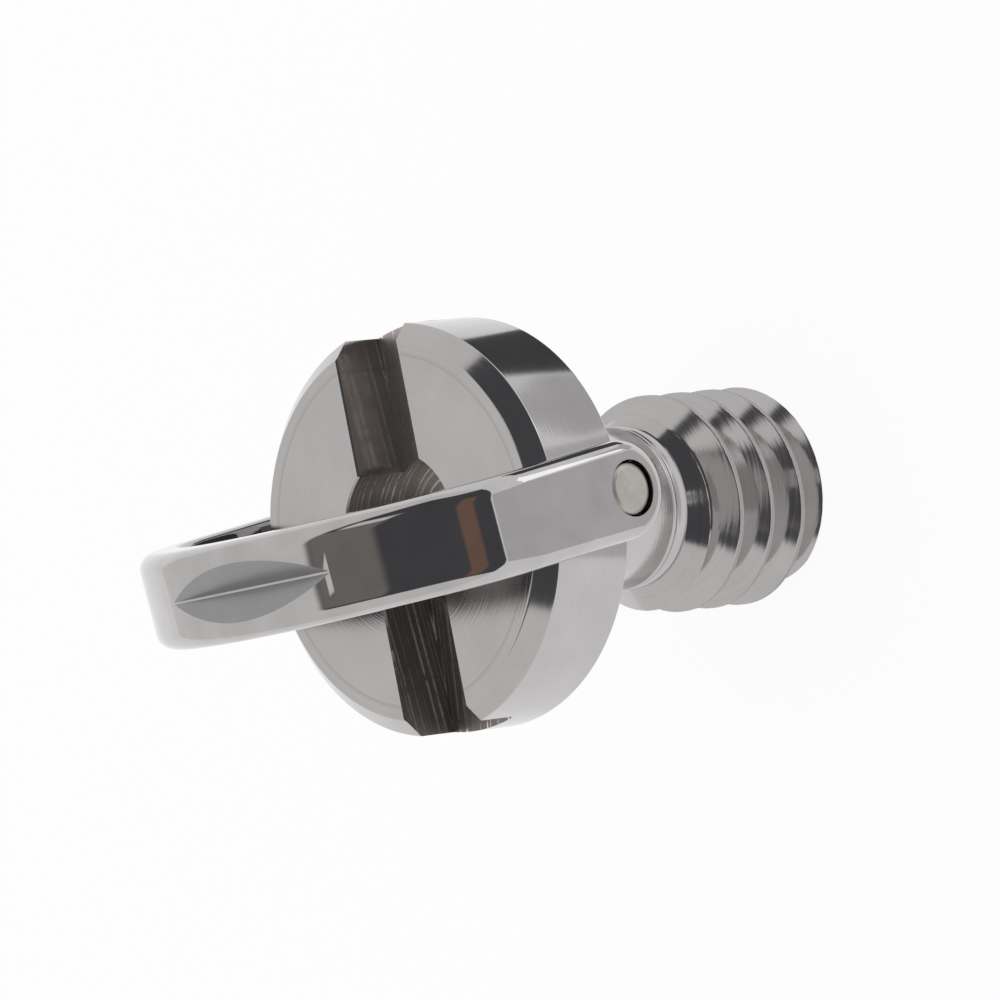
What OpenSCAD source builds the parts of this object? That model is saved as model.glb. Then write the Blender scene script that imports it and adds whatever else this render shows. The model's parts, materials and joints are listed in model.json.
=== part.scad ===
// Camera screw with a hinged D-ring: a slotted disc head on a necked 1/4 inch shank,
// and a flat band bent into a D that swings on two short pins in the rim of the head.
// The screw stands on the flat end of its thread, with the ring held up above the head.

/* [Head] */
// Diameter of the disc head
head_d = 11.7; // [10:0.1:14]
// Thickness of the disc head
head_t = 3.2; // [2.8:0.1:4.5]
// Bevel round the front edge of the head
head_bevel = 0.5; // [0.2:0.05:0.8]
// Width of the coin slot across the face
slot_w = 2.5; // [1.5:0.1:3.2]
// Depth of the coin slot
slot_depth = 1.8; // [1:0.1:2.4]
// Angle of the slot away from square to the hinge
slot_turn = 3; // [-10:0.5:10]
// Diameter of the round recess in the middle of the face
recess_d = 4.4; // [3.4:0.1:5.4]
// Depth of the recess below the floor of the slot
recess_drop = 0.6; // [0.2:0.1:1]

/* [Shank] */
// Diameter of the plain neck behind the head
neck_d = 4.7; // [4:0.1:5.4]
// Length of the plain neck
neck_l = 6; // [3:0.1:9]
// Outer diameter of the thread, a quarter of an inch
thread_d = 6.35; // [5.9:0.05:7]
// Length of the threaded end
thread_l = 5.1; // [4:0.1:8]
// Length of the slope from the neck up to the thread
run_out_l = 0.7; // [0.4:0.1:1.2]
// Bevel round the free end of the thread
thread_bevel = 0.3; // [0.1:0.05:0.6]

/* [Ring] */
// Width of the band, which is also the diameter of its round ears
band_w = 2.8; // [2.2:0.1:3.6]
// Thickness of the band
band_t = 1.3; // [1:0.05:1.8]
// Radius of the long edges on the outside of the band
outer_edge_r = 0.5; // [0.2:0.05:0.6]
// Radius of the long edges on the inside of the band
inner_edge_r = 0.2; // [0.1:0.05:0.35]
// Outside radius of the two bends between the arms and the bow
bend_r = 3.4; // [2.6:0.1:4.4]
// Rise of the bow beyond the bends
bow_crown = 1.4; // [0.8:0.1:2.4]
// Room between the bow and the head as the ring swings past it
bow_gap = 1.2; // [0.5:0.1:3]
// Depth of the groove across the middle of the bow
groove_depth = 0.58; // [0.3:0.02:0.8]
// Angle between the walls of the groove
groove_angle = 110; // [80:5:130]

/* [Hinge] */
// Distance of the hinge from the back face of the head
hinge_setback = 1.1; // [0.9:0.05:1.5]
// Diameter of the two pivot pins
pin_d = 1.45; // [1:0.05:1.6]
// Depth of each pin in the rim of the head
pin_seat = 2.2; // [1.2:0.1:2.6]
// Bevel round both ends of each pin
pin_bevel = 0.12; // [0.05:0.01:0.2]
// Radial gap between a pin and the hole in its ear
pin_gap = 0.08; // [0.02:0.01:0.1]
// Gap between the rim of the head and each arm
side_gap = 0.15; // [0.05:0.01:0.4]
// Angle that the ring leans from the axis of the screw
ring_lean = 8; // [-60:1:60]

/* [Hidden] */
$fn = 64;

// How far a cutter runs past the face that it cuts
over = 0.5;
// Angle by which each bend runs on into its arm and into the bow, so that the band is one piece
bend_lap = 5;

// The screw is drawn along X, from the middle of its front face at the origin
head_r = head_d / 2;
neck_r = neck_d / 2;
thread_r = thread_d / 2;
thread_start = head_t + neck_l;
screw_l = thread_start + thread_l;
recess_depth = slot_depth + recess_drop;

// The hinge lies along Y, and the band is measured from it
hinge_x = head_t - hinge_setback;
inner_half = head_r + side_gap;
outer_half = inner_half + band_t;
ear_r = band_w / 2;
ring_reach = norm([hinge_x, head_r]) + bow_gap + band_t;
arm_l = ring_reach - bow_crown - bend_r;
bend_half = outer_half - bend_r;
bow_r = (bow_crown ^ 2 + 2 * bend_r * bow_crown + bend_half ^ 2) / (2 * bow_crown);
bow_center = ring_reach - bow_r;
bow_half_angle = atan2(bend_half, arm_l - bow_center);

// Stands the screw on the end of its thread, over the origin
module standing() {
    translate([0, 0, screw_l]) rotate([0, 90, 0]) children();
}

// Carries a shape from the frame of the ring, where the bow is along +X from the hinge
module in_ring() {
    standing() translate([hinge_x, 0, 0]) rotate([0, ring_lean, 180]) children();
}

// Half of the screw's lengthwise section, as radius against length
module screw_section() {
    polygon([
        [0, 0],
        [head_r - head_bevel, 0],
        [head_r, head_bevel],
        [head_r, head_t],
        [neck_r, head_t],
        [neck_r, thread_start],
        [thread_r, thread_start + run_out_l],
        [thread_r, screw_l - thread_bevel],
        [thread_r - thread_bevel, screw_l],
        [0, screw_l]
    ]);
}

// Coin slot, cut right across the face
module slot_cut() {
    rotate([-slot_turn, 0, 0])
        translate([-over, -slot_w / 2, -head_d / 2 - over])
            cube([slot_depth + over, slot_w, head_d + 2 * over]);
}

// Round recess in the middle of the face
module recess_cut() {
    translate([-over, 0, 0]) rotate([0, 90, 0]) cylinder(d = recess_d, h = recess_depth + over);
}

// Blind hole for a pin in the rim of the head, on the side given by the sign
module pin_hole(side) {
    translate([hinge_x, side * (head_r - pin_seat), 0])
        rotate([-side * 90, 0, 0]) cylinder(d = pin_d, h = pin_seat + over);
}

module screw() {
    color("silver") standing() difference() {
        rotate([0, 90, 0]) rotate_extrude() screw_section();
        slot_cut();
        recess_cut();
        for (side = [-1, 1]) pin_hole(side);
    }
}

// Section of the band with its inner face on the Y axis and its middle on the X axis
module band_section() {
    translate([inner_edge_r, -ear_r]) square([band_t - inner_edge_r - outer_edge_r, band_w]);
    translate([0, inner_edge_r - ear_r]) square([band_t / 2, band_w - 2 * inner_edge_r]);
    translate([band_t / 2, outer_edge_r - ear_r]) square([band_t / 2, band_w - 2 * outer_edge_r]);
    for (side = [-1, 1]) {
        translate([inner_edge_r, side * (ear_r - inner_edge_r)]) circle(inner_edge_r);
        translate([band_t - outer_edge_r, side * (ear_r - outer_edge_r)]) circle(outer_edge_r);
    }
}

// One round ear and its straight arm, on the side given by the sign
module arm(side) {
    mirror([0, side < 0 ? 1 : 0, 0]) translate([0, inner_half, 0]) {
        rotate([-90, 0, 0]) rotate_extrude() intersection() {
            rotate(90) band_section();
            translate([0, -over]) square([ear_r + over, band_t + 2 * over]);
        }
        rotate([90, 0, 90]) linear_extrude(arm_l) band_section();
    }
}

// One bend between an arm and the bow, on the side given by the sign
module bend(side) {
    mirror([0, side < 0 ? 1 : 0, 0]) translate([arm_l, bend_half, 0])
        rotate(bow_half_angle - bend_lap) rotate_extrude(angle = 90 - bow_half_angle + 2 * bend_lap)
            translate([bend_r - band_t, 0]) band_section();
}

module bow() {
    translate([bow_center, 0, 0]) rotate(-bow_half_angle) rotate_extrude(angle = 2 * bow_half_angle)
        translate([bow_r - band_t, 0]) band_section();
}

// Straight V groove across the middle of the bow, parallel to the hinge
module groove_cut() {
    groove_h = groove_depth + over;
    groove_half = groove_h * tan(groove_angle / 2);
    translate([ring_reach - groove_depth, outer_half, 0]) rotate([90, 0, 0])
        linear_extrude(2 * outer_half)
            polygon([[0, 0], [groove_h, -groove_half], [groove_h, groove_half]]);
}

module d_ring() {
    color("gainsboro") in_ring() difference() {
        union() {
            for (side = [-1, 1]) {
                arm(side);
                bend(side);
            }
            bow();
        }
        groove_cut();
        translate([0, -outer_half - over, 0]) rotate([-90, 0, 0])
            cylinder(d = pin_d + 2 * pin_gap, h = 2 * (outer_half + over));
    }
}

// One pin, from the bottom of its hole in the head to the outer face of its ear
module pivot_pin(side) {
    pin_l = pin_seat + side_gap + band_t;
    pin_r = pin_d / 2;
    color("lightgray") standing() translate([hinge_x, side * (head_r - pin_seat), 0])
        rotate([-side * 90, 0, 0]) rotate_extrude() polygon([
            [0, 0],
            [pin_r - pin_bevel, 0],
            [pin_r, pin_bevel],
            [pin_r, pin_l - pin_bevel],
            [pin_r - pin_bevel, pin_l],
            [0, pin_l]
        ]);
}

module pivot_pin_near() {
    pivot_pin(-1);
}

module pivot_pin_far() {
    pivot_pin(1);
}

screw();
d_ring();
pivot_pin_near();
pivot_pin_far();
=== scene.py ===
"""Camera screw with a hinged D-ring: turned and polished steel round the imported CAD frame.

Shapes are drawn in millimetres, the screw along X from the middle of its front face and the ring
along X from its hinge, and then set into the frame. The sizes are those of the part's source.
"""
import json
import math

import bmesh
import bpy
from mathutils import Matrix, Vector


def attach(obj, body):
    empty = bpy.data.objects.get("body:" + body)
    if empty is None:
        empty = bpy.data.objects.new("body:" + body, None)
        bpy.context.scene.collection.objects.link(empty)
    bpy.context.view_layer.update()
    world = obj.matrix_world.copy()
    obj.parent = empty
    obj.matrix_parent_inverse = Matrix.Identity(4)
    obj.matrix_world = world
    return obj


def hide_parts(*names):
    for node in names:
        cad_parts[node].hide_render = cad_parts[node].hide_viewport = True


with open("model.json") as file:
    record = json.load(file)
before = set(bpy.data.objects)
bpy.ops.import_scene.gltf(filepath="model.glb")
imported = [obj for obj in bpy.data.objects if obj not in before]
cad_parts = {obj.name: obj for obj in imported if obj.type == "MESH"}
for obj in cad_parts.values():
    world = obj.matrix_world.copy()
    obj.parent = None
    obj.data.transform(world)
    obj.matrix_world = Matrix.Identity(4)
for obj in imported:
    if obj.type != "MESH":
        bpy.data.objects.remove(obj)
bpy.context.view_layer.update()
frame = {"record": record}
record = frame["record"]

MM = 0.001

# Head of the screw
HEAD_R = 5.85
HEAD_T = 3.2
HEAD_BEVEL = 0.5
FACE_EDGE_R = 0.1
RIM_EDGE_R = 0.04
FACE_MARK_R = 5.0
FACE_MARK_W = 0.08
SLOT_W = 2.5
SLOT_DEPTH = 1.8
SLOT_TURN = math.radians(3)
RECESS_R = 2.2
RECESS_DEPTH = 2.4
LIP = 0.05

# Neck and thread
NECK_R = 2.35
NECK_FILLET = 0.15
NECK_LINES = (8.62, 8.8)
NECK_LINE_W = 0.05
NECK_LINE_DEPTH = 0.025
THREAD_START = 9.2
THREAD_R = 3.175
ROOT_R = 2.42
PITCH = 1.27
THREAD_PHASE = -0.3225
CREST_SHARE = 0.125
ROOT_SHARE = 0.167
RUN_OUT_L = 0.7
THREAD_BEVEL = 0.3
SCREW_L = 14.3
ROWS_PER_TURN = 72
ROUND_STEPS = 168

# Ring
BAND_W = 2.8
BAND_T = 1.3
OUTER_EDGE_R = 0.5
INNER_EDGE_R = 0.2
BEND_R = 3.4
BOW_CROWN = 1.4
BOW_GAP = 1.2
GROOVE_DEPTH = 0.58
GROOVE_ANGLE = math.radians(110)
GROOVE_FLAT = 0.03
RING_LEAN = math.radians(8)

# Hinge
HINGE_X = 2.1
SIDE_GAP = 0.15
PIN_R = 0.725
PIN_SEAT = 2.2
PIN_BEVEL = 0.12
PIN_DOME = 0.05
PIN_EDGE_R = 0.03
PIN_GAP = 0.08

# Worked out as in the part's source
EAR_R = BAND_W / 2
INNER_HALF = HEAD_R + SIDE_GAP
OUTER_HALF = INNER_HALF + BAND_T
RING_REACH = math.hypot(HINGE_X, HEAD_R) + BOW_GAP + BAND_T
GROOVE_BOTTOM = RING_REACH - GROOVE_DEPTH
ARM_L = RING_REACH - BOW_CROWN - BEND_R
BEND_HALF = OUTER_HALF - BEND_R
BOW_R = (BOW_CROWN ** 2 + 2 * BEND_R * BOW_CROWN + BEND_HALF ** 2) / (2 * BOW_CROWN)
BOW_CENTRE = RING_REACH - BOW_R
BOW_HALF_ANGLE = math.atan2(BEND_HALF, ARM_L - BOW_CENTRE)
PIN_L = PIN_SEAT + SIDE_GAP + BAND_T

# How far a cutter runs past the face that it cuts, and how much wider a pin's drill is than the pin
OVER = 0.6
DRILL_PLAY = 0.01

# Width of a support loop beside an edge, and how near to a surface a face centre counts as on it
SUPPORT = 0.04
NEAR = 0.01
SHARP_ANGLE = math.radians(28)
WELD = 1e-4

# Softness of the thread's roots and crests, as the distance over which two slopes blend
ROOT_BLEND = 0.12
CREST_BLEND = 0.03

# Camera of the photograph
VIEW_AZIMUTH = math.radians(4.27)
VIEW_ELEVATION = math.radians(44.36)
VIEW_ROLL = math.radians(-95.86)
VIEW_DISTANCE = 250.0
VIEW_AIM = (0.437, -2.057, 12.235)
VIEW_LENS = 319.5
SENSOR = 36.0

# Floor, lamp and light of the studio
FLOOR_SIZE = 6000.0
CARD_LIFT = 0.4
WHITE = (1.0, 1.0, 1.0, 1.0)
PAPER = (0.86, 0.86, 0.86, 1.0)
PAPER_GLOW = 0.93
SKY_LIGHT = 0.7
LAMP_SIZE = 300.0
LAMP_PLACE = (50.0, 50.0, 350.0)
LAMP_POWER = 0.35

# What mirrors show of the studio, in degrees to the right and up from the way back to the camera:
# a dark side, a brown strip, a dim patch and a small pale panel, each from left, right, low and high
PALE_WALL = (0.84, 0.83, 0.83, 1.0)
STUDIO_ZONES = (
    (-58, 69, -38, 66, (0.085, 0.085, 0.092, 1.0)),
    (11, 27, -30, 30, (0.23, 0.14, 0.11, 1.0)),
    (-57, -32, -30, 13, (0.24, 0.225, 0.215, 1.0)),
    (-52, -34, 15, 31, (0.85, 0.82, 0.82, 1.0)),
)
ZONE_SOFT = 2


def screw_place():
    """Sets the screw's own axes, in millimetres, into the frame by its thread and its hinge."""
    thread = next(mount for mount in record["mounts"] if mount["name"] == "camera_thread")
    hinge = next(joint for joint in record["behaviour"]["joints"] if joint["name"] == "ring_hinge")
    along = Vector(thread["axis"]).normalized()
    across = Vector(hinge["axis"]).normalized()
    up = along.cross(across)
    origin = Vector(hinge["pos_m"]) - along * HINGE_X * MM
    turn = Matrix((along, across, up)).transposed().to_4x4()
    return Matrix.Translation(origin) @ turn


SCREW_PLACE = screw_place()
HINGE_PLACE = SCREW_PLACE @ Matrix.Translation((HINGE_X * MM, 0, 0))
RING_PLACE = HINGE_PLACE @ Matrix.Rotation(math.pi, 4, "Z") @ Matrix.Rotation(RING_LEAN, 4, "Y")


# Mesh making

def add_piece(name, points, faces):
    """A new object from points in millimetres, with doubles merged and faces outward."""
    mesh = bpy.data.meshes.new(name)
    mesh.from_pydata([tuple(p) for p in points], [], faces)
    build = bmesh.new()
    build.from_mesh(mesh)
    bmesh.ops.remove_doubles(build, verts=build.verts, dist=WELD)
    bmesh.ops.recalc_face_normals(build, faces=build.faces)
    build.to_mesh(mesh)
    build.free()
    piece = bpy.data.objects.new(name, mesh)
    bpy.context.scene.collection.objects.link(piece)
    return piece


def rounded(corners, steps=5):
    """Profile points through corners (x, r, edge radius), each radius as an arc with support points."""
    points = []
    for i, (x, r, edge) in enumerate(corners):
        here = Vector((x, r))
        if edge == 0:
            points.append(here)
            continue
        back = (Vector(corners[i - 1][:2]) - here).normalized()
        ahead = (Vector(corners[i + 1][:2]) - here).normalized()
        half = back.angle(ahead) / 2
        run = edge / math.tan(half)
        centre = here + (back + ahead).normalized() * edge / math.sin(half)
        start = here + back * run - centre
        sweep = start.angle_signed(here + ahead * run - centre)
        points.append(here + back * (run + SUPPORT))
        for k in range(steps + 1):
            points.append(centre + Matrix.Rotation(-sweep * k / steps, 2) @ start)
        points.append(here + ahead * (run + SUPPORT))
    return points


def turned(name, profile, count=ROUND_STEPS, twist=None):
    """A solid of revolution about X. The first and last profile points lie on the axis."""
    points = [Vector((profile[0][0], 0, 0))]
    for x, r in profile[1:-1]:
        start = twist(x) if twist else 0
        for i in range(count):
            angle = start + 2 * math.pi * i / count
            points.append(Vector((x, r * math.cos(angle), r * math.sin(angle))))
    points.append(Vector((profile[-1][0], 0, 0)))
    faces = []
    rows = len(profile) - 2
    for i in range(count):
        j = (i + 1) % count
        faces.append((0, 1 + j, 1 + i))
        for row in range(rows - 1):
            a = 1 + row * count
            b = a + count
            faces.append((a + i, a + j, b + j, b + i))
        last = 1 + (rows - 1) * count
        faces.append((last + i, last + j, len(points) - 1))
    return add_piece(name, points, faces)


def prism(name, outline, low, high):
    """A straight bar: an outline in X and Z, carried along Y from low to high."""
    count = len(outline)
    points = [(x, low, z) for x, z in outline] + [(x, high, z) for x, z in outline]
    faces = [tuple(range(count)), tuple(range(count, 2 * count))]
    for i in range(count):
        j = (i + 1) % count
        faces.append((i, j, count + j, count + i))
    return add_piece(name, points, faces)


def apply_modifiers(piece):
    """Gives the piece its evaluated mesh and takes its modifiers off."""
    depsgraph = bpy.context.evaluated_depsgraph_get()
    mesh = bpy.data.meshes.new_from_object(piece.evaluated_get(depsgraph))
    piece.modifiers.clear()
    piece.data = mesh


def cut(piece, cutters):
    """Takes each cutter out of the piece and deletes it."""
    for cutter in cutters:
        change = piece.modifiers.new("cut", "BOOLEAN")
        change.operation = "DIFFERENCE"
        change.solver = "EXACT"
        change.object = cutter
    apply_modifiers(piece)
    for cutter in cutters:
        bpy.data.objects.remove(cutter)


def settle(piece, place):
    """Moves a piece drawn in millimetres to its place in the frame, and shades it smooth between edges."""
    piece.data.transform(place @ Matrix.Scale(MM, 4))
    piece.data.shade_smooth()
    piece.data.set_sharp_from_angle(angle=SHARP_ANGLE)
    piece.data.update()


# Node trees

class Value:
    """One output of a node. Arithmetic on it adds Math nodes to its tree."""

    def __init__(self, tree, socket):
        self.tree = tree
        self.socket = socket

    def math(self, operation, *others):
        sockets = dict(enumerate((self, *others)))
        return self.tree.node(self.tree.math_kind, {"operation": operation}, sockets)

    def __add__(self, other):
        return self.math("ADD", other)

    def __radd__(self, other):
        return self.math("ADD", other)

    def __sub__(self, other):
        return self.math("SUBTRACT", other)

    def __rsub__(self, other):
        return self.tree.node(self.tree.math_kind, {"operation": "SUBTRACT"}, {0: other, 1: self})

    def __mul__(self, other):
        return self.math("MULTIPLY", other)

    def __rmul__(self, other):
        return self.math("MULTIPLY", other)

    def __truediv__(self, other):
        return self.math("DIVIDE", other)

    def __pow__(self, other):
        return self.math("POWER", other)


class Tree:
    """A node tree that is filled node by node."""

    math_kind = "ShaderNodeMath"

    def __init__(self, nodes):
        self.nodes = nodes
        self.nodes.nodes.clear()

    def node(self, kind, settings=None, sockets=None, out=0):
        """Adds a node, sets its settings, then the values or links of its sockets, and gives one output."""
        made = self.nodes.nodes.new(kind)
        for key, value in (settings or {}).items():
            setattr(made, key, value)
        for key, value in (sockets or {}).items():
            if isinstance(value, Value):
                self.nodes.links.new(value.socket, made.inputs[key])
            else:
                made.inputs[key].default_value = value
        return Value(self, made.outputs[out]) if made.outputs else made

    def mix(self, share, first, second):
        """Colour between two colours."""
        return self.node("ShaderNodeMix", {"data_type": "RGBA"}, {0: share, 6: first, 7: second}, out=2)

    def step(self, value, low, high):
        """Rises smoothly from 0 to 1 as the value goes from low to high."""
        sockets = {"Value": value, "From Min": low, "From Max": high}
        return self.node("ShaderNodeMapRange", {"interpolation_type": "SMOOTHSTEP"}, sockets)


class Finish(Tree):
    """A material for one surface of the screw or the ring."""

    def __init__(self, name):
        self.material = bpy.data.materials.new(name)
        self.material.use_nodes = True
        super().__init__(self.material.node_tree)

    def local(self, place):
        """Object coordinates in millimetres, in the axes in which the piece was drawn."""
        sockets = {
            "Vector": self.node("ShaderNodeTexCoord", out="Object"),
            "Location": place.translation,
            "Rotation": place.to_euler(),
            "Scale": (MM,) * 3,
        }
        return self.node("ShaderNodeMapping", {"vector_type": "TEXTURE"}, sockets)

    def axes(self, vector):
        made = self.node("ShaderNodeSeparateXYZ", None, {0: vector}).socket.node
        return [Value(self, socket) for socket in made.outputs]

    def cloud(self, vector, scale, detail=2.0):
        """Soft noise in space, about 0.5 on average."""
        return self.node("ShaderNodeTexNoise", None, {"Vector": vector, "Scale": scale, "Detail": detail})

    def lines(self, across, per_mm, detail=2.0):
        """Noise along one line, so that it draws fine lines square to it."""
        settings = {"noise_dimensions": "1D"}
        return self.node("ShaderNodeTexNoise", settings, {"W": across, "Scale": per_mm, "Detail": detail})

    def bump(self, height, strength, depth):
        """Surface normal from a height of 0 to 1 that stands for a depth in millimetres."""
        sockets = {"Height": height, "Strength": strength, "Distance": depth * MM}
        return self.node("ShaderNodeBump", None, sockets)

    def surface(self, **sockets):
        named = {key.replace("_", " "): value for key, value in sockets.items()}
        shader = self.node("ShaderNodeBsdfPrincipled", None, named)
        self.node("ShaderNodeOutputMaterial", None, {"Surface": shader})
        return self.material


# Finishes

STEEL_LIGHT = (0.57, 0.555, 0.55, 1.0)
STEEL_DARK = (0.42, 0.41, 0.41, 1.0)


def polished_band():
    """Mirror polish of the ring, with faint polishing lines along the band."""
    steel = Finish("polished_band")
    place = steel.local(RING_PLACE)
    x, y, z = steel.axes(place)
    haze = steel.cloud(place, 0.9)
    wipe = steel.lines(z + 0.06 * steel.cloud(place, 1.5), 22.0)
    colour = steel.mix(haze, STEEL_DARK, STEEL_LIGHT)
    rough = 0.035 + 0.05 * haze * wipe
    return steel.surface(
        Base_Color=colour, Metallic=1.0, Roughness=rough, Normal=steel.bump(wipe, 0.05, 0.01)
    )


def turned_steel(name, rough, line_rough, line_bump, along_x, light=STEEL_LIGHT, dark=STEEL_DARK):
    """Lathe-turned steel: fine lines round the axis, counted along X or outward from the axis."""
    steel = Finish(name)
    place = steel.local(SCREW_PLACE)
    x, y, z = steel.axes(place)
    radius = (y * y + z * z) ** 0.5
    run = x if along_x else radius
    wander = 0.02 * steel.cloud(place, 1.2)
    tool_lines = steel.lines(run + wander, 14.0, 4.0)
    haze = steel.cloud(place, 0.6, 3.0)
    mark = 1 - steel.step((radius - FACE_MARK_R).math("ABSOLUTE"), 0.0, FACE_MARK_W)
    shade = 0.35 * tool_lines + 0.65 * haze
    colour = steel.mix(shade * (1 - 0.9 * mark), dark, light)
    return steel.surface(
        Base_Color=colour,
        Metallic=1.0,
        Roughness=rough + line_rough * tool_lines,
        Normal=steel.bump(tool_lines, line_bump, 0.02),
    )


def milled_steel(name, across_slot):
    """Walls of the slot and the recess: painted dark as shade in the hollow and lighter towards local +Z as
    painted light, with torn lines left by the cutter that carry painted highlights.
    """
    steel = Finish(name)
    place = steel.local(SCREW_PLACE)
    x, y, z = steel.axes(place)
    across = y * math.cos(SLOT_TURN) + z * math.sin(SLOT_TURN)
    radius = (y * y + z * z) ** 0.5
    run = x + (across if across_slot else radius)
    wander = 0.05 * steel.cloud(place, 0.8)
    torn = steel.lines(run + wander, 7.0, 5.0)
    # Painted highlight: near-white colour on some of the torn lines, where glints show.
    painted_glint = steel.step(torn, 0.54, 0.64) * steel.step(steel.cloud(place, 2.2, 3.0), 0.30, 0.52)
    haze = steel.cloud(place, 1.4, 3.0)
    # Painted light: the walls grow lighter towards local +Z, mixed with random haze.
    side_light_and_haze = 0.4 * haze + 0.6 * steel.step(z, -1.0, 1.5)
    # Painted shade: the dark brown end of this mix darkens the slot and the recess as shade in a hollow.
    ground = steel.mix(side_light_and_haze, (0.24, 0.22, 0.205, 1.0), (0.58, 0.54, 0.52, 1.0))
    return steel.surface(
        Base_Color=steel.mix(painted_glint, ground, (0.92, 0.90, 0.88, 1.0)),
        Metallic=1.0,
        Roughness=0.42 - 0.2 * painted_glint,
        Normal=steel.bump(torn, 0.35, 0.03),
    )


def groove_steel():
    """Walls of the groove in the bow, painted darker than the band as shade in the groove, with lines along
    it.
    """
    steel = Finish("cut_groove")
    place = steel.local(RING_PLACE)
    x, y, z = steel.axes(place)
    drag = steel.lines(z + 0.03 * steel.cloud(place, 1.5), 26.0, 3.0)
    haze = steel.cloud(place, 1.1)
    # Painted shade: the groove walls get a darker colour than the band.
    colour = steel.mix(0.5 * drag + 0.5 * haze, (0.27, 0.27, 0.275, 1.0), (0.36, 0.36, 0.365, 1.0))
    return steel.surface(
        Base_Color=colour, Metallic=1.0, Roughness=0.16 + 0.10 * drag, Normal=steel.bump(drag, 0.08, 0.01)
    )


def pin_end():
    """Pale matt metal of the pins, dulled where their ends were pressed."""
    steel = Finish("pin_end")
    place = steel.local(SCREW_PLACE)
    mottle = steel.cloud(place, 5.0, 4.0)
    colour = steel.mix(mottle, (0.48, 0.465, 0.43, 1.0), (0.68, 0.66, 0.62, 1.0))
    return steel.surface(
        Base_Color=colour,
        Metallic=0.85,
        Roughness=0.38 + 0.16 * mottle,
        Normal=steel.bump(mottle, 0.25, 0.03),
    )


# Screw

class Geometry(Tree):
    """A geometry tree with named inputs."""

    def __init__(self, name):
        self.group = bpy.data.node_groups.new(name, "GeometryNodeTree")
        super().__init__(self.group)
        self.group.interface.new_socket("Geometry", in_out="OUTPUT", socket_type="NodeSocketGeometry")
        self.identifiers = {}
        self.entry = None

    def inputs(self, **kinds):
        for name, kind in {"Geometry": "NodeSocketGeometry", **kinds}.items():
            made = self.group.interface.new_socket(name, in_out="INPUT", socket_type=kind)
            self.identifiers[name] = made.identifier
        self.entry = self.group.nodes.new("NodeGroupInput")
        return [Value(self, self.entry.outputs[name]) for name in ("Geometry", *kinds)]

    def run(self, piece, result, material, **values):
        """Ends the tree, sets its inputs on the piece and leaves a plain mesh."""
        plain = self.node("GeometryNodeRealizeInstances", None, {"Geometry": result})
        done = self.node("GeometryNodeSetMaterial", None, {"Geometry": plain, "Material": material})
        self.node("NodeGroupOutput", None, {"Geometry": done})
        change = piece.modifiers.new("shape", "NODES")
        change.node_group = self.group
        for name, value in values.items():
            change[self.identifiers[name]] = value
        apply_modifiers(piece)


def screw_profile():
    """Half of the lengthwise section, with the thread still a plain rod over its crests."""
    corners = [
        (0, 0, 0),
        (0, HEAD_R - HEAD_BEVEL, FACE_EDGE_R),
        (HEAD_BEVEL, HEAD_R, RIM_EDGE_R),
        (HEAD_T, HEAD_R, RIM_EDGE_R),
        (HEAD_T, NECK_R, NECK_FILLET),
    ]
    for x in NECK_LINES:
        corners.append((x - NECK_LINE_W, NECK_R, 0))
        corners.append((x, NECK_R - NECK_LINE_DEPTH, 0))
        corners.append((x + NECK_LINE_W, NECK_R, 0))
    corners.append((THREAD_START, NECK_R, 0))
    profile = rounded(corners)
    rows = round((SCREW_L - THREAD_START) / PITCH * ROWS_PER_TURN)
    for k in range(1, rows + 1):
        profile.append(Vector((THREAD_START + (SCREW_L - THREAD_START) * k / rows, THREAD_R)))
    for share in (0.8, 0.4):
        profile.append(Vector((SCREW_L, THREAD_R * share)))
    profile.append(Vector((SCREW_L, 0)))
    return profile


def thread_twist(x):
    """Turns each row of points with the thread, so that its edges follow rows of points."""
    return 2 * math.pi * max(0.0, x - THREAD_START) / PITCH


def cut_thread(blank, material):
    """Draws the rod in to a right-hand thread that grows out of the neck and is bevelled at its end."""
    tree = Geometry("cut_thread")
    blank_mesh, start, end, pitch, phase, crest_r, root_r, run_out, bevel = tree.inputs(
        **dict.fromkeys(
            ("Start", "End", "Pitch", "Phase", "Crest radius", "Root radius", "Run out", "End bevel"),
            "NodeSocketFloat",
        )
    )
    position = tree.node("GeometryNodeInputPosition")
    split = tree.node("ShaderNodeSeparateXYZ", None, {0: position}).socket.node
    x, y, z = [Value(tree, socket) for socket in split.outputs]
    turn = z.math("ARCTAN2", y) / (2 * math.pi)
    share = (x / pitch - turn + phase).math("FRACT")
    from_crest = (share - 0.5).math("ABSOLUTE") * 2
    rise = (1 - ROOT_SHARE - from_crest) / (1 - ROOT_SHARE - CREST_SHARE)
    flank = root_r + (crest_r - root_r) * rise
    ridge = flank.math("SMOOTH_MAX", root_r, ROOT_BLEND).math("SMOOTH_MIN", crest_r, CREST_BLEND)
    slope = (x - start) / run_out * (crest_r - NECK_R) + NECK_R
    tip = crest_r - bevel + (end - x)
    radius = ridge.math("MINIMUM", slope).math("MINIMUM", tip)
    scale = radius / crest_r
    moved = tree.node("ShaderNodeCombineXYZ", None, {0: x, 1: y * scale, 2: z * scale})
    in_thread = x.math("GREATER_THAN", start + WELD)
    result = tree.node(
        "GeometryNodeSetPosition", None, {"Geometry": blank_mesh, "Selection": in_thread, "Position": moved}
    )
    tree.run(
        blank,
        result,
        material,
        **{
            "Start": THREAD_START,
            "End": SCREW_L,
            "Pitch": PITCH,
            "Phase": THREAD_PHASE,
            "Crest radius": THREAD_R,
            "Root radius": ROOT_R,
            "Run out": RUN_OUT_L,
            "End bevel": THREAD_BEVEL,
        },
    )


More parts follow.
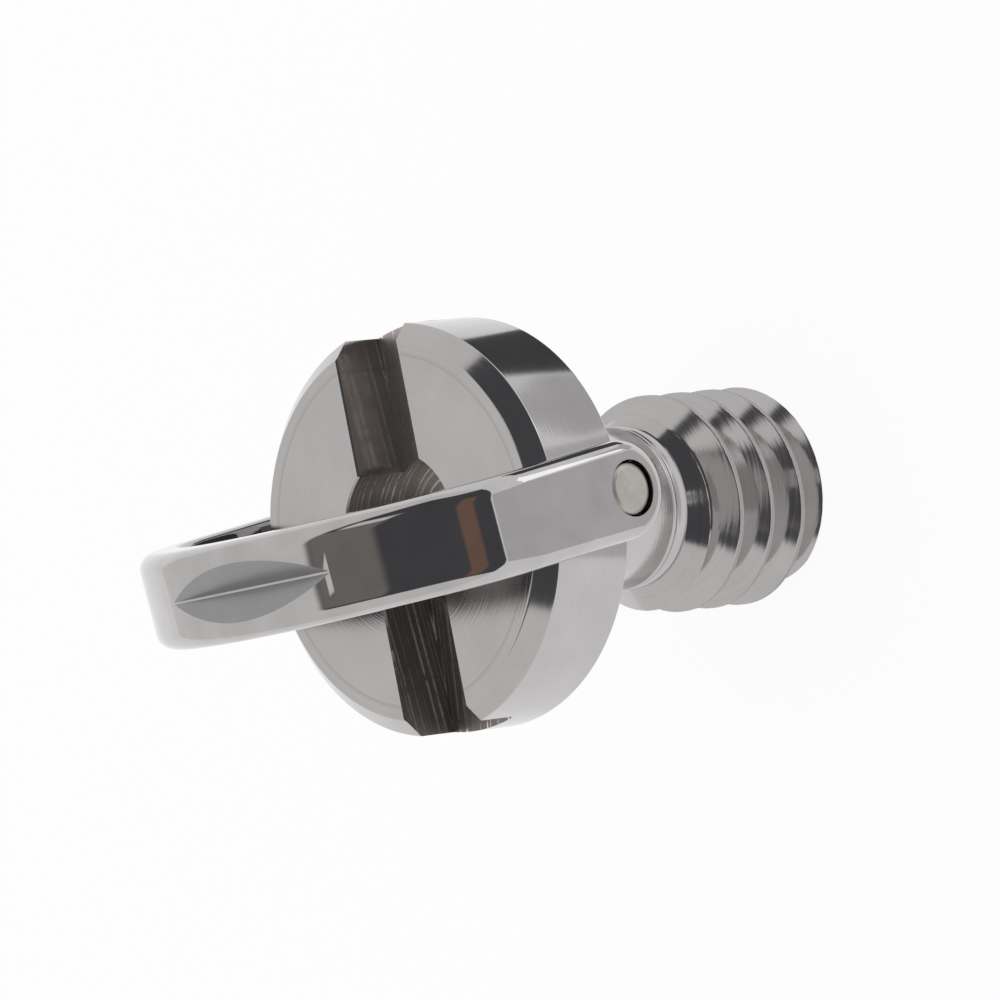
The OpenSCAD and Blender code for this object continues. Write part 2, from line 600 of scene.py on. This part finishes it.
def slot_cutter():
    """Bar for the coin slot, opening a little at the face to break its long edges."""
    half = SLOT_W / 2
    outline = [(-OVER, half + LIP + OVER), (LIP, half), (SLOT_DEPTH, half)]
    outline += [(x, -y) for x, y in reversed(outline)]
    bar = prism("slot_cutter", outline, -HEAD_R - OVER, HEAD_R + OVER)
    bar.data.transform(Matrix.Rotation(math.pi / 2 - SLOT_TURN, 4, "X"))
    return bar


def round_cutter(name, radius, depth):
    """Round drill along X from the face, with a small countersink at the mouth."""
    profile = [(-OVER, 0), (-OVER, radius + LIP + OVER), (LIP, radius), (depth, radius), (depth, 0)]
    return turned(name, profile, 96)


def hinge_drill(name, radius, start, end):
    """Straight drill along the hinge, from start to end on Y."""
    drill = turned(name, [(start, 0), (start, radius), (end, radius), (end, 0)], 64)
    drill.data.transform(Matrix.Rotation(math.pi / 2, 4, "Z"))
    return drill


def surface_of_screw(centre):
    """Names the finish of the screw's surface at a face centre in millimetres."""
    x, y, z = centre
    radius = math.hypot(y, z)
    across = abs(y * math.cos(SLOT_TURN) + z * math.sin(SLOT_TURN))
    if x > HEAD_T - 2 * NEAR:
        return "shank"
    if radius > HEAD_R - NEAR:
        return "rim"
    if abs(radius - (HEAD_R - HEAD_BEVEL + x)) < 2 * NEAR:
        return "rim"
    if x < NEAR / 2 and radius < HEAD_R - HEAD_BEVEL:
        return "face"
    if radius < RECESS_R + LIP and (x > SLOT_DEPTH + NEAR or across > SLOT_W / 2 + NEAR):
        return "recess"
    if across < SLOT_W / 2 + LIP + NEAR:
        return "slot"
    return "rim"


def make_screw():
    finishes = {
        "shank": turned_steel("turned_shank", 0.07, 0.09, 0.08, True),
        "rim": turned_steel("turned_rim", 0.08, 0.08, 0.05, True),
        "face": turned_steel("turned_face", 0.10, 0.08, 0.08, False),
        "slot": milled_steel("milled_slot", True),
        "recess": milled_steel("drilled_recess", False),
    }
    screw = turned("turned_screw", screw_profile(), ROUND_STEPS, thread_twist)
    cut_thread(screw, finishes["shank"])
    drills = []
    for side in (-1, 1):
        start, end = side * (HEAD_R - PIN_SEAT), side * (HEAD_R + OVER)
        drill = hinge_drill(f"pin_drill_{side}", PIN_R + DRILL_PLAY, start, end)
        drill.data.transform(Matrix.Translation((HINGE_X, 0, 0)))
        drills.append(drill)
    cut(screw, [slot_cutter(), round_cutter("recess_cutter", RECESS_R, RECESS_DEPTH), *drills])
    screw.data.materials.clear()
    names = list(finishes)
    for name in names:
        screw.data.materials.append(finishes[name])
    for face in screw.data.polygons:
        face.material_index = names.index(surface_of_screw(face.center))
    settle(screw, SCREW_PLACE)
    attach(screw, "screw_body")
    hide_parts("screw")


# Ring

def band_half():
    """Half of the band's section, from the middle of its inner face to the middle of its outer face."""
    inner_step, outer_step = 8, 14
    points = [(0.0, 0.0), (0.0, EAR_R - INNER_EDGE_R - SUPPORT)]
    for k in range(inner_step + 1):
        angle = math.pi - math.pi / 2 * k / inner_step
        points.append((INNER_EDGE_R * (1 + math.cos(angle)), EAR_R - INNER_EDGE_R * (1 - math.sin(angle))))
    for k in range(outer_step + 1):
        angle = math.pi / 2 - math.pi / 2 * k / outer_step
        out = BAND_T - OUTER_EDGE_R * (1 - math.cos(angle))
        points.append((out, EAR_R - OUTER_EDGE_R * (1 - math.sin(angle))))
    points += [(BAND_T, EAR_R - OUTER_EDGE_R - SUPPORT), (BAND_T, 0.0)]
    return points


def band_path():
    """Places along the band from one ear to the other: a point of the inner face and the way outward."""
    arm_steps, bend_steps, bow_steps = 6, 44, 56
    half = [((ARM_L * k / arm_steps, INNER_HALF), (0.0, 1.0)) for k in range(arm_steps)]
    for k in range(bend_steps):
        angle = math.pi / 2 + (BOW_HALF_ANGLE - math.pi / 2) * k / bend_steps
        out = (math.cos(angle), math.sin(angle))
        inner = BEND_R - BAND_T
        half.append(((ARM_L + inner * out[0], BEND_HALF + inner * out[1]), out))
    bow = []
    for k in range(bow_steps + 1):
        angle = BOW_HALF_ANGLE - 2 * BOW_HALF_ANGLE * k / bow_steps
        out = (math.cos(angle), math.sin(angle))
        inner = BOW_R - BAND_T
        bow.append(((BOW_CENTRE + inner * out[0], inner * out[1]), out))
    other = [((u, -w), (n, -m)) for (u, w), (n, m) in reversed(half)]
    return half + bow + other


def sweep_band():
    """The bent band with its two round ears, as one closed mesh."""
    half = band_half()
    loop = half + [(t, -v) for t, v in reversed(half[1:-1])]
    path = band_path()
    points = []
    faces = []
    for (u, w), (n, m) in path:
        points += [(u + t * n, w + t * m, v) for t, v in loop]
    count = len(loop)
    for k in range(len(path) - 1):
        for i in range(count):
            j = (i + 1) % count
            a = k * count
            faces.append((a + i, a + j, a + count + j, a + count + i))
    ear_steps = 48
    for side in (-1, 1):
        first = len(points)
        for k in range(ear_steps + 1):
            angle = math.pi * k / ear_steps
            for t, v in half:
                points.append((-v * math.sin(angle), side * (INNER_HALF + t), v * math.cos(angle)))
        for k in range(ear_steps):
            for i in range(len(half) - 1):
                a = first + k * len(half) + i
                faces.append((a, a + 1, a + len(half) + 1, a + len(half)))
    return add_piece("d_ring_band", points, faces)


def groove_cutter():
    """Straight V across the middle of the bow, parallel to the hinge."""
    high = GROOVE_DEPTH + OVER
    half = high * math.tan(GROOVE_ANGLE / 2)
    low = GROOVE_FLAT / math.tan(GROOVE_ANGLE / 2)
    outline = [(low, -GROOVE_FLAT), (high, -half), (high, half), (low, GROOVE_FLAT)]
    outline = [(GROOVE_BOTTOM + x, z) for x, z in outline]
    return prism("groove_cutter", outline, -OUTER_HALF, OUTER_HALF)


def in_groove(centre):
    """Whether a face centre of the ring, in millimetres, lies on a wall of the groove."""
    x, y, z = centre
    wall = GROOVE_BOTTOM + abs(z) / math.tan(GROOVE_ANGLE / 2)
    return abs(x - wall) < NEAR / 2 and abs(z) > GROOVE_FLAT


def make_ring():
    ring = sweep_band()
    drills = []
    for side in (-1, 1):
        start, end = side * (INNER_HALF - OVER), side * (OUTER_HALF + OVER)
        drills.append(hinge_drill(f"ear_drill_{side}", PIN_R + PIN_GAP, start, end))
    cut(ring, [groove_cutter(), *drills])
    ring.data.materials.clear()
    ring.data.materials.append(polished_band())
    ring.data.materials.append(groove_steel())
    for face in ring.data.polygons:
        face.material_index = 1 if in_groove(face.center) else 0
    settle(ring, RING_PLACE)
    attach(ring, "ring_body")
    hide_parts("d_ring")


# Pins

def make_pins():
    """One pin, set at both sides of the head by a geometry tree."""
    corners = [
        (0, 0, 0),
        (0, PIN_R - PIN_BEVEL, 0),
        (PIN_BEVEL, PIN_R, 0),
        (PIN_L - PIN_BEVEL, PIN_R, PIN_EDGE_R),
        (PIN_L - PIN_DOME, PIN_R - PIN_BEVEL, PIN_EDGE_R),
        (PIN_L - 0.2 * PIN_DOME, PIN_R * 0.4, 0),
        (PIN_L, 0, 0),
    ]
    pin = turned("pin_blank", rounded(corners), 72)
    pins = add_piece("pivot_pins", [(0, 0, 0)], [])
    tree = Geometry("pin_pair")
    start, shape, seat, hinge = tree.inputs(
        Pin="NodeSocketObject", Seat="NodeSocketFloat", Hinge="NodeSocketFloat"
    )
    near = tree.node("ShaderNodeCombineXYZ", None, {0: hinge, 1: seat * -1.0})
    step = tree.node("ShaderNodeCombineXYZ", None, {1: seat * 2.0})
    places = {"Count": 2, "Start Location": near, "Offset": step}
    row = tree.node("GeometryNodeMeshLine", {"mode": "OFFSET"}, places)
    index = tree.node("GeometryNodeInputIndex")
    turn = tree.node("ShaderNodeCombineXYZ", None, {2: (index - 0.5) * math.pi})
    made = tree.node("GeometryNodeObjectInfo", None, {"Object": shape}, out="Geometry")
    sockets = {"Points": row, "Instance": made, "Rotation": turn}
    pair = tree.node("GeometryNodeInstanceOnPoints", None, sockets)
    tree.run(pins, pair, pin_end(), Pin=pin, Seat=HEAD_R - PIN_SEAT, Hinge=HINGE_X)
    bpy.data.objects.remove(pin)
    settle(pins, SCREW_PLACE)
    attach(pins, "screw_body")
    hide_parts("pivot_pin_near", "pivot_pin_far")


# Studio

def camera_axes():
    """Right, up and back of the photograph's camera, in the frame."""
    level = math.cos(VIEW_ELEVATION)
    drop = -math.sin(VIEW_ELEVATION)
    ahead = Vector((math.sin(VIEW_AZIMUTH) * level, math.cos(VIEW_AZIMUTH) * level, drop))
    flat = ahead.cross(Vector((0, 0, 1))).normalized()
    steep = flat.cross(ahead)
    right = flat * math.cos(VIEW_ROLL) + steep * math.sin(VIEW_ROLL)
    return right, right.cross(ahead), -ahead


def make_camera():
    right, up, back = camera_axes()
    data = bpy.data.cameras.new("photo_camera")
    data.sensor_width = SENSOR
    data.lens = VIEW_LENS
    data.clip_start = 0.01
    data.clip_end = 10.0
    camera = bpy.data.objects.new("photo_camera", data)
    bpy.context.scene.collection.objects.link(camera)
    turn = Matrix((right, up, back)).transposed().to_4x4()
    camera.matrix_world = Matrix.Translation((Vector(VIEW_AIM) + back * VIEW_DISTANCE) * MM) @ turn
    bpy.context.scene.camera = camera


def seen_directly(tree):
    """1 for rays that show the studio itself: from the camera, in a mirror or through glass."""
    path = tree.node("ShaderNodeLightPath").socket.node
    names = ("Is Camera Ray", "Is Glossy Ray", "Is Transmission Ray")
    camera, glossy, through = [Value(tree, path.outputs[name]) for name in names]
    return camera.math("MAXIMUM", glossy).math("MAXIMUM", through)


def flat_sheet(name, corners, material):
    """One four-cornered sheet from corners in millimetres."""
    mesh = bpy.data.meshes.new(name)
    mesh.from_pydata([Vector(corner) * MM for corner in corners], [], [(0, 1, 2, 3)])
    mesh.materials.append(material)
    sheet = bpy.data.objects.new(name, mesh)
    bpy.context.scene.collection.objects.link(sheet)
    return sheet


def make_floor():
    """White paper that is lit by the studio, keeps a faint shadow and looks white."""
    paper = Finish("white_paper")
    lit = paper.node("ShaderNodeBsdfDiffuse", None, {"Color": PAPER})
    glow = paper.node("ShaderNodeEmission", None, {"Color": WHITE, "Strength": 1.0})
    share = seen_directly(paper) * PAPER_GLOW
    shown = paper.node("ShaderNodeMixShader", None, {0: share, 1: lit, 2: glow})
    paper.node("ShaderNodeOutputMaterial", None, {"Surface": shown})
    half = FLOOR_SIZE / 2
    corners = [(-half, -half, 0), (half, -half, 0), (half, half, 0), (-half, half, 0)]
    flat_sheet("floor", corners, paper.material)


def studio_card(name, near, far, grey):
    """A card just above the floor that only mirrors show, from its near to its far edge.

    Each edge is its place on Y and its two ends on X.
    """
    paper = Finish(name)
    glow = paper.node("ShaderNodeEmission", None, {"Color": (grey, grey, grey, 1.0), "Strength": 1.0})
    paper.node("ShaderNodeOutputMaterial", None, {"Surface": glow})
    near_y, near_left, near_right = near
    far_y, far_left, far_right = far
    corners = [
        (near_left, near_y, CARD_LIFT),
        (near_right, near_y, CARD_LIFT),
        (far_right, far_y, CARD_LIFT),
        (far_left, far_y, CARD_LIFT),
    ]
    card = flat_sheet(name, corners, paper.material)
    card.visible_camera = False
    card.visible_diffuse = False
    card.visible_shadow = False


def make_world():
    """Soft studio round the object: pale walls, a dark side towards the camera, a small panel in it."""
    world = bpy.data.worlds.new("studio")
    bpy.context.scene.world = world
    world.use_nodes = True
    sky = Tree(world.node_tree)
    ray = sky.node("ShaderNodeTexCoord", out="Generated")
    right, up, back = [
        sky.node("ShaderNodeVectorMath", {"operation": "DOT_PRODUCT"}, {0: ray, 1: axis}, out="Value")
        for axis in camera_axes()
    ]
    side = right.math("ARCTAN2", back) * math.degrees(1)
    lift = up.math("ARCSINE") * math.degrees(1)

    def between(value, low, high):
        rise = sky.step(value, low - ZONE_SOFT, low + ZONE_SOFT)
        return rise * (1 - sky.step(value, high - ZONE_SOFT, high + ZONE_SOFT))

    walls = PALE_WALL
    for left, rightmost, low, high, colour in STUDIO_ZONES:
        walls = sky.mix(between(side, left, rightmost) * between(lift, low, high), walls, colour)
    shown = sky.node("ShaderNodeBackground", None, {"Color": walls, "Strength": 1.0})
    light = sky.node("ShaderNodeBackground", None, {"Color": WHITE, "Strength": SKY_LIGHT})
    both = sky.node("ShaderNodeMixShader", None, {0: seen_directly(sky), 1: light, 2: shown})
    sky.node("ShaderNodeOutputWorld", None, {"Surface": both})


def make_lamp():
    """Large soft lamp above the object, which mirrors don't show."""
    data = bpy.data.lights.new("softbox", "AREA")
    data.size = LAMP_SIZE * MM
    data.energy = LAMP_POWER
    lamp = bpy.data.objects.new("softbox", data)
    lamp.location = Vector(LAMP_PLACE) * MM
    lamp.visible_glossy = False
    bpy.context.scene.collection.objects.link(lamp)


make_camera()
make_screw()
make_ring()
make_pins()
make_floor()
studio_card("dark_card", near=(-6, 12, 26), far=(4, 12, 26), grey=0.08)
studio_card("white_card", near=(-25, 12, 24), far=(-15.5, 12, 24), grey=1.8)
studio_card("rim_card", near=(-15, 9, 16), far=(-6.5, 9, 16), grey=0.62)
studio_card("arm_card", near=(-500, -90, 100), far=(-12, -7, 8), grey=0.66)
make_world()
make_lamp()
bpy.context.scene.view_settings.view_transform = "Standard"
